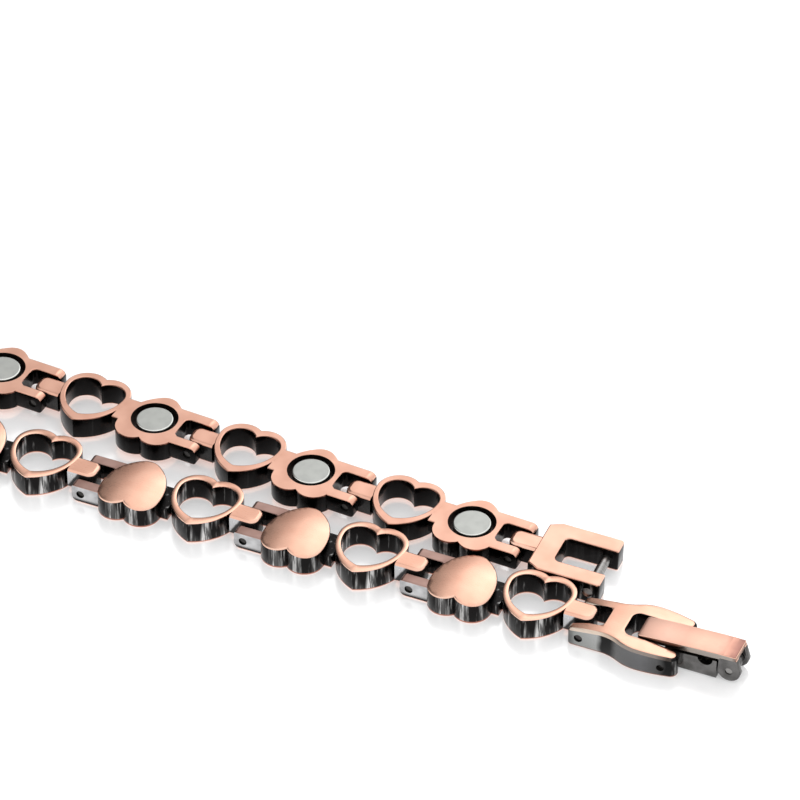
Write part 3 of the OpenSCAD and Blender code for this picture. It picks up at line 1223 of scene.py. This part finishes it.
    def build(self, wardrobe: Wardrobe) -> None:
        """Builds the links and puts each between its two pins.

        Args:
            wardrobe: The finishes.
        """
        show(self.solid(), wardrobe, self.choose, [
            Seat(f"heart_link_{number:02d}", f"link_{number:02d}", self.place(number))
            for number in range(1, LINKS + 1)])

    def place(self, number: int) -> Matrix:
        """Place of a link, found from its two pins.

        Args:
            number: The link's number, counted from the clasp.

        Returns:
            The matrix that brings a piece in the link's own millimetres there.
        """
        fork = middle(f"pin_{number:02d}")
        way = (middle(f"pin_{number - 1:02d}") - fork).normalized()
        lift = math.atan2(-way.z, way.x)
        side = math.asin(way.y)
        return (Matrix.Translation(fork) @ Matrix.Rotation(lift, 4, "Y")
                @ Matrix.Rotation(side, 4, "Z") @ Matrix.Translation((0, 0, -self.hinge.pin_z)))


@dataclass
class Magnets:
    """The discs in the pockets of the links' inner faces."""

    link: HeartLink
    radius: float = 1.5
    low: float = 0.05
    high: float = 0.9
    rim: float = 0.12

    def build(self, wardrobe: Wardrobe) -> None:
        """Builds the discs.

        Args:
            wardrobe: The finishes.
        """
        form = disc(self.radius, self.low, self.high, self.link.solid_x, 72)
        show(form.softened(self.rim, 4), wardrobe, lambda at, normal:
             Finish.MAGNET if abs(normal.z) > 0.98 else Finish.MAGNET_RIM, [
                 Seat(f"magnet_disc_{number:02d}", f"magnet_{number:02d}",
                      self.link.place(number), metal="magnet")
                 for number in range(1, LINKS + 1)])


@dataclass
class ClaspBody:
    """The swelling frame with a fork at one end and two arms at the other."""

    hinge: Hinge = field(default_factory=Hinge)
    thick: float = 1.95
    fork_x: float = -2.485
    web: float = 1.65
    arms_l: float = 3.6
    arms_w: float = 5.65
    arms_end_w: float = 5.1
    slot_w: float = 2.66
    slot_corner: float = 0.62
    swell: float = 0.62
    nose: float = 0.56
    rim: float = 0.3
    slot_edge: float = 0.07
    low_edge: float = 0.08
    lug_end: float = 0.92
    lug_in_r: float = 0.3
    lug_out_r: float = 0.35
    grid: float = 0.35
    arch_x: float = 2.9
    arch_fork_r: float = 17.0
    arch_arm_r: float = 60.0
    lever_bore: float = 0.3

    def solid(self) -> Form:
        """The frame, measured from the pin of its fork.

        Returns:
            The frame.
        """
        h = self.hinge
        half, wide, end = h.fork_w / 2, self.arms_w / 2, self.arms_end_w / 2
        slot_x = h.slot_deep + self.web
        pin_x = slot_x + self.arms_l
        run = self.swell * (pin_x - h.slot_deep)
        rise = wide - half
        flare_r = (run * run + rise * rise) / (4 * rise)
        flare = 2 * math.degrees(math.atan2(rise, run))
        swell_x = h.slot_deep + run
        down, fall = pin_x + self.nose - swell_x, wide - end
        taper_r = (down * down + fall * fall) / (2 * fall)
        taper = math.degrees(math.asin(down / taper_r))
        inner = self.slot_w / 2
        tip = (end - inner) / 2
        lug = self.lug_in_r - self.lug_end
        form = Form()
        form.trace((h.slot_deep, 0), [
            (h.slot_deep, h.slot_w / 2 - h.corner),
            Turn((h.slot_deep - h.corner, h.slot_w / 2 - h.corner), 90, 6),
            (lug, h.slot_w / 2), Turn((lug, h.slot_w / 2 + self.lug_in_r), -90, 5),
            (-self.lug_end, half - self.lug_out_r),
            Turn((self.lug_out_r - self.lug_end, half - self.lug_out_r), -90, 6),
            (h.slot_deep, half),
            Turn((h.slot_deep, half + flare_r), flare, 10),
            Turn((swell_x, wide - flare_r), -flare, 10),
            Turn((swell_x, wide - taper_r), -taper, 10),
            Turn((pin_x + self.nose, end - tip), -180, 14),
            (slot_x + self.slot_corner, inner),
            Turn((slot_x + self.slot_corner, inner - self.slot_corner), 90, 7),
            (slot_x, 0)])
        form.mirrored("Y").raised(0, self.thick)
        outer = lambda at: (abs(at.y) > 1.9 or at.x < lug - NEAR
                            or at.x > pin_x + self.nose - 2 * NEAR)
        form.softened(self.rim, 5, lambda at: at.z > self.thick - NEAR and outer(at), clamp=False)
        form.softened(self.slot_edge, 2, lambda at: at.z > self.thick - NEAR and not outer(at))
        form.softened(self.low_edge, 2, lambda at: at.z < NEAR)
        form.sliced(self.grid).lowered(self.thick / 2, lambda at: (at.x - self.arch_x) ** 2 / 2 / (
            self.arch_fork_r if at.x < self.arch_x else self.arch_arm_r))
        form = form.cut(rod(h.bore, h.fork_w + 2, 0, h.pin_z))
        return form.cut(rod(self.lever_bore, self.arms_w + 2, pin_x, h.pin_z))

    def choose(self, at: Vector, normal: Vector) -> Finish:
        """Finish of a face of the frame.

        Args:
            at: The face's centre.
            normal: Its normal.

        Returns:
            The finish.
        """
        for x in (0.0, self.hinge.slot_deep + self.web + self.arms_l):
            spot = Vector((at.x - x, at.z - self.hinge.pin_z))
            if abs(normal.y) < 0.5 and spot.length < self.hinge.bore:
                return Finish.PIN
        # The clasp's lower bevels take the painted shade.
        if normal.z < -LEVEL:
            return Finish.INNER if normal.z < -0.95 else Finish.PAINTED_SHADE
        if normal.z > 0.93:
            return Finish.FACE
        # Top bevels take the painted highlight band, or the painted flank tones where they face
        # along the clasp.
        if normal.z > 0.3:
            return Finish.LIT_FLANK if normal.x > LEVEL else Finish.HIGHLIGHT_BAND
        # The clasp's outer sides take the painted flank tones.
        return Finish.LIT_FLANK if abs(at.y) > 1.9 and normal.x < 0.5 else Finish.SIDE

    def build(self, wardrobe: Wardrobe) -> None:
        """Builds the frame.

        Args:
            wardrobe: The finishes.
        """
        show(self.solid(), wardrobe, self.choose, [
            Seat("clasp_frame", "clasp_body", Matrix.Translation((self.fork_x, 0, 0)))])


@dataclass
class ClaspLever:
    """The inner lever with its half-round notch and its knuckle."""

    fork_x: float = -2.485
    arm_x: float = 6.91
    arm_z: float = 0.78
    length: float = 4.95
    width: float = 2.46
    eye_r: float = 0.5
    lift: float = 0.06
    cover_z: float = 1.0
    cover_rise: float = 0.92
    gap: float = 0.16
    slope: float = 3.0
    ear_r: float = 0.92
    play: float = 0.04
    knuckle_r: float = 0.6
    knuckle_w: float = 1.24
    notch_x: float = 3.05
    notch_r: float = 0.6
    bore: float = 0.32
    edge: float = 0.07
    knuckle_edge: float = 0.06

    def top(self, x: float) -> float:
        """Height of the lever's top below the cover.

        Args:
            x: Where, measured from the pin of the clasp's fork.

        Returns:
            The height.
        """
        cover_x = self.arm_x + self.length
        return (self.cover_z + self.cover_rise - self.gap
                - (cover_x - x) * math.tan(math.radians(self.slope)))

    def solid(self) -> Form:
        """The lever, measured from the pin of the clasp's fork.

        Returns:
            The lever.
        """
        cover_x = self.arm_x + self.length
        ears = cover_x - self.ear_r - self.play
        form = profile((self.arm_x, self.arm_z + self.eye_r),
                       [Turn((self.arm_x, self.arm_z), 165, 14),
                        (self.arm_x + 0.75, self.lift), (ears, self.lift),
                        (ears, self.top(ears)), (self.arm_x + self.eye_r, self.top(self.arm_x)),
                        (self.arm_x, self.arm_z + self.eye_r)], self.width)
        notch = self.arm_x + self.notch_x
        form = form.cut(rod(self.notch_r, self.width + 1, notch, self.top(notch), 40))
        form.softened(self.edge, 2)
        root = ears - 0.1
        k = self.knuckle_r
        knuckle = profile((root, self.cover_z - k),
                          [(cover_x, self.cover_z - k), Turn((cover_x, self.cover_z), 180, 16),
                           (root, self.cover_z + k), (root, self.cover_z - k)], self.knuckle_w)
        knuckle.softened(self.knuckle_edge, 2, lambda at: at.x > root + 0.2)
        form = form.join(knuckle)
        form = form.cut(rod(self.bore, self.width + 1, self.arm_x, self.arm_z))
        return form.cut(rod(self.bore, self.width + 1, cover_x, self.cover_z))

    def build(self, wardrobe: Wardrobe) -> None:
        """Builds the lever.

        Args:
            wardrobe: The finishes.
        """
        show(self.solid(), wardrobe, lambda at, normal:
             Finish.LEVER if abs(normal.y) > 0.3 or normal.z > 0.5 else Finish.PIN, [
                 Seat("clasp_lever", "clasp_tongue", Matrix.Translation((self.fork_x, 0, 0)),
                      "tongue", "steel")])


@dataclass
class ClaspCover:
    """The outer lever, folded over the inner one."""

    lever: ClaspLever
    width: float = 2.36
    length: float = 7.4
    lip: float = 0.6
    thick: float = 0.5
    ear_w: float = 0.52
    bore: float = 0.3
    bow: float = 0.09
    low_bow: float = 0.03
    corner: float = 0.3
    lip_r: float = 0.12
    top_edge: float = 0.1
    low_edge: float = 0.06
    ear_edge: float = 0.07
    bends: int = 16

    def solid(self) -> Form:
        """The cover, measured from its own pin.

        Returns:
            The cover.
        """
        rise, r = self.lever.cover_rise, self.lever.ear_r
        form = Form()
        half, corner, tip = self.width / 2, self.corner, self.lip - self.lip_r
        form.trace((-self.length, 0), [
            (-self.length, half - corner), Turn((-self.length + corner, half - corner), -90, 6),
            (tip, half), Turn((tip, half - self.lip_r), -90, 4),
            (self.lip, 0)])
        form.mirrored("Y").raised(rise, rise + self.thick)
        form.softened(self.top_edge, 3, lambda at: at.z > rise + self.thick - NEAR, clamp=False)
        form.softened(self.low_edge, 2, lambda at: at.z < rise + NEAR)
        half_l = (self.length + self.lip) / 2
        for step in range(1, self.bends):
            bmesh.ops.bisect_plane(
                form.mesh, geom=form.mesh.faces[:] + form.mesh.edges[:] + form.mesh.verts[:],
                dist=1e-4, plane_no=(1, 0, 0),
                plane_co=(self.lip - step * half_l * 2 / self.bends, 0, 0))
        for vertex in form.mesh.verts:
            share = (vertex.co.x - self.lip + half_l) / half_l
            bow = self.bow if vertex.co.z > rise + self.thick / 2 else self.low_bow
            vertex.co.z += bow * (1 - share ** 4)
        bmesh.ops.rotate(form.mesh, verts=form.mesh.verts[:], cent=(0, 0, 0),
                         matrix=Matrix.Rotation(math.radians(-self.lever.slope), 3, "Y"))
        for s in (-1, 1):
            ear = profile((-r, 0), [Turn((0, 0), 180, 20), (r * 0.62, rise + self.thick * 0.55),
                                    (-r * 0.9, rise + self.thick * 0.45), (-r, 0)], self.ear_w)
            ear.softened(self.ear_edge, 2)
            form = form.join(ear.moved((0, s * (self.width - self.ear_w) / 2, 0)))
        return form.cut(rod(self.bore, self.width + 1, 0, 0))

    def choose(self, at: Vector, normal: Vector) -> Finish:
        """Finish of a face of the cover.

        Args:
            at: The face's centre.
            normal: Its normal.

        Returns:
            The finish.
        """
        if normal.z > 0.5 and at.z > 0.4:
            # The top takes the painted light and shade, its rounded edges the painted highlight.
            return Finish.LIT_COVER if normal.z > 0.9 else Finish.EDGE
        if at.z > 0.75 or at.x < -1:
            # Faces toward the hinge take the painted shade, the sides the painted light and shade.
            return Finish.PAINTED_SHADE if normal.x > 0.6 else Finish.LIT_LIP
        return Finish.LEVER if abs(normal.y) > 0.5 else Finish.PIN

    def build(self, wardrobe: Wardrobe) -> None:
        """Builds the cover.

        Args:
            wardrobe: The finishes.
        """
        place = (self.lever.fork_x + self.lever.arm_x + self.lever.length, 0, self.lever.cover_z)
        show(self.solid(), wardrobe, self.choose, [
            Seat("cover_plate", "clasp_cover", Matrix.Translation(place), "cover")])


@dataclass
class Catch:
    """The square-shouldered frame at the other end of the chain."""

    hinge: Hinge = field(default_factory=Hinge)
    thick: float = 1.95
    width: float = 5.75
    reach: float = 1.65
    web: float = 1.75
    length: float = 3.35
    open_w: float = 2.84
    slant_l: float = 0.95
    slant_w: float = 0.5
    end_l: float = 0.92
    slot_corner: float = 0.42
    end_in_r: float = 0.15
    end_out_r: float = 0.25
    edge: float = 0.1
    tongue_low: float = 0.02
    tongue_drop: float = 0.2
    bore: float = 0.42

    def solid(self) -> Form:
        """The frame, measured from the pin of its tongue, its pin side first.

        Returns:
            The frame.
        """
        pin_x = -(self.reach + self.web + self.length)
        slot_x = -(self.reach + self.web)
        end = pin_x - self.end_l
        half, inner, corner = self.width / 2, self.open_w / 2, self.slot_corner
        form = Form()
        form.trace((slot_x, 0), [
            (slot_x, inner - corner), Turn((slot_x - corner, inner - corner), 90, 6),
            (end + self.end_in_r, inner),
            Turn((end + self.end_in_r, inner + self.end_in_r), -90, 4),
            (end, half - self.end_out_r),
            Turn((end + self.end_out_r, half - self.end_out_r), -90, 5),
            (-self.reach - self.slant_l, half), (-self.reach, half - self.slant_w),
            (-self.reach, 0)])
        form.mirrored("Y").raised(0, self.thick)
        form.softened(self.edge, 2, lambda at: at.z < NEAR or at.z > self.thick - NEAR)
        form = form.join(self.hinge.tongue(-self.reach - 0.4, 0, self.tongue_low,
                                           self.thick - self.tongue_drop))
        return form.cut(rod(self.bore, self.width + 2, pin_x, self.thick / 2))

    def choose(self, at: Vector, normal: Vector) -> Finish:
        """Finish of a face of the catch.

        Args:
            at: The face's centre, not used.
            normal: Its normal.

        Returns:
            The finish.
        """
        # Underside bevels take the painted shade where they face away, the painted highlight
        # elsewhere.
        if normal.z < -LEVEL:
            return (Finish.INNER if normal.z < -0.9 else
                    Finish.PAINTED_SHADE if normal.y > 0.25 else Finish.EDGE)
        return Finish.FACE if normal.z > LEVEL else Finish.SIDE

    def build(self, wardrobe: Wardrobe) -> None:
        """Builds the catch on the last pin of the chain.

        Args:
            wardrobe: The finishes.
        """
        hinge_at, cross = middle("pin_14"), middle("catch_pin")
        run = self.reach + self.web + self.length
        drop = self.thick / 2 - self.hinge.pin_z
        way = cross - hinge_at
        side = math.atan2(way.y, way.x)
        flat = math.hypot(way.x, way.y)
        tilt = math.atan2(-way.z, flat) - math.atan2(drop, run)
        place = (Matrix.Translation(hinge_at) @ Matrix.Rotation(side, 4, "Z")
                 @ Matrix.Rotation(tilt, 4, "Y") @ Matrix.Rotation(math.pi, 4, "Y")
                 @ Matrix.Translation((0, 0, -self.hinge.pin_z)))
        show(self.solid(), wardrobe, self.choose, [Seat("catch_frame", "catch", place)])


@dataclass
class Pins:
    """The CAD pins, which keep their shape and take a near-black steel as painted shade, with two
    in a lighter steel as a painted highlight.
    """

    names: tuple[str, ...] = tuple(f"pin_{k:02d}" for k in range(LINKS + 1)) + (
        "arm_pin", "cover_pin", "catch_pin")
    highlighted: tuple[str, ...] = ("cover_pin", "catch_pin")

    def build(self) -> None:
        """Dresses the pins."""
        # Painted shade on the pins in their holes, painted highlight on the cover and catch pins.
        dark = self.bar("pin_bar_painted_shade", (0.02, 0.019, 0.018), (0.10, 0.096, 0.093))
        bright = self.bar("pin_painted_highlight", (0.16, 0.155, 0.15), (0.42, 0.41, 0.40))
        for name in self.names:
            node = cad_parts[name]
            node.data.materials.clear()
            node.data.materials.append(bright if name in self.highlighted else dark)
        LOG.info("pins: %d dressed", len(self.names))

    def bar(self, name: str, deep: Tint, light: Tint) -> bpy.types.Material:
        """Makes the turned steel of a pin.

        Args:
            name: The material's name.
            deep: Its darker tone.
            light: Its lighter tone.

        Returns:
            The material.
        """
        paint = Paint(name, 1.0, 0.25)
        place = paint.node("TexCoord").outputs["Object"]
        turned = paint.noise(paint.stretched(place, (500, 6000, 500)), 1.0, 3.0)
        paint.feed("Base Color", paint.mixed(turned, deep, light))
        paint.feed("Roughness", 0.2 + turned * 0.15)
        return paint.material


@dataclass
class Studio:
    """Camera, floor and soft light."""

    target: Place = (-26.734, 19.644, 0.0)
    distance: float = 429.69
    azimuth: float = 23.725
    elevation: float = 39.091
    focal: float = 5363.7
    picture: float = 800.0
    behind: Place = (-0.466, 0.759, 0.455)
    aside: Place = (0.904, 0.228, 0.362)
    dim: float = 0.05
    around: float = 1.05
    bright: float = 1.6
    lamp_at: Place = (-0.05, 0.25, 0.26)
    lamp_aim: Place = (-0.005, 0.0, 0.0)
    lamp_size: float = 0.13
    lamp_power: float = 0.035

    def camera(self) -> None:
        """Makes the camera at the photograph's angle."""
        data = bpy.data.cameras.new("camera")
        data.sensor_width = 36
        data.lens = self.focal / self.picture * data.sensor_width
        data.clip_start, data.clip_end = 0.01, 10
        made = bpy.data.objects.new("camera", data)
        bpy.context.scene.collection.objects.link(made)
        a, e = math.radians(self.azimuth), math.radians(self.elevation)
        back = Vector((math.sin(a) * math.cos(e), -math.cos(a) * math.cos(e), math.sin(e)))
        made.location = (Vector(self.target) + back * self.distance) * MM
        made.rotation_euler = (-back).to_track_quat("-Z", "Y").to_euler()
        bpy.context.scene.camera = made

    def floor(self) -> None:
        """Makes the pale floor."""
        form = Form()
        bmesh.ops.create_grid(form.mesh, x_segments=4, y_segments=4, size=2.5)
        made = form.piece("floor")
        made.location = (0, 0, -0.00002)
        made.data.materials.append(PalePlane("pale_floor", (0.84, 0.84, 0.845), 0.2).make())

    def lamp(self) -> None:
        """Makes the soft lamp at the back right."""
        data = bpy.data.lights.new("back_right", "AREA")
        data.shape, data.size, data.energy = "SQUARE", self.lamp_size, self.lamp_power
        made = bpy.data.objects.new("back_right", data)
        made.location = self.lamp_at
        aim = Vector(self.lamp_aim) - Vector(self.lamp_at)
        made.rotation_euler = aim.to_track_quat("-Z", "Y").to_euler()
        bpy.context.scene.collection.objects.link(made)

    def sky(self) -> None:
        """Makes the light from all round, with the screen at the back right."""
        world = bpy.data.worlds.new("studio")
        bpy.context.scene.world = world
        world.use_nodes = True
        sky = Sky(world.node_tree)
        back = sky.toward(self.behind).ramp(0.45, 0.75)
        screen = sky.toward(self.aside).ramp(-0.22, 0.29) * self.bright
        sky.shine(self.dim + (1 - back) * self.around + back * screen)
        view = bpy.context.scene.view_settings
        view.view_transform = "Standard"
        view.look = "None"
        view.exposure, view.gamma = 0.0, 1.0

    def build(self) -> None:
        """Makes the whole studio."""
        self.camera()
        self.floor()
        self.sky()
        self.lamp()
        LOG.info("studio: camera, floor and light")


def main() -> None:
    """Builds and dresses the bracelet."""
    logging.basicConfig(level=logging.INFO, format="%(name)s: %(message)s")
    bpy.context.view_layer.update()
    Studio().build()
    wardrobe = Wardrobe()
    link = HeartLink()
    link.build(wardrobe)
    Magnets(link).build(wardrobe)
    ClaspBody().build(wardrobe)
    lever = ClaspLever()
    lever.build(wardrobe)
    ClaspCover(lever).build(wardrobe)
    Catch().build(wardrobe)
    Pins().build()


if __name__ == "__main__":
    main()
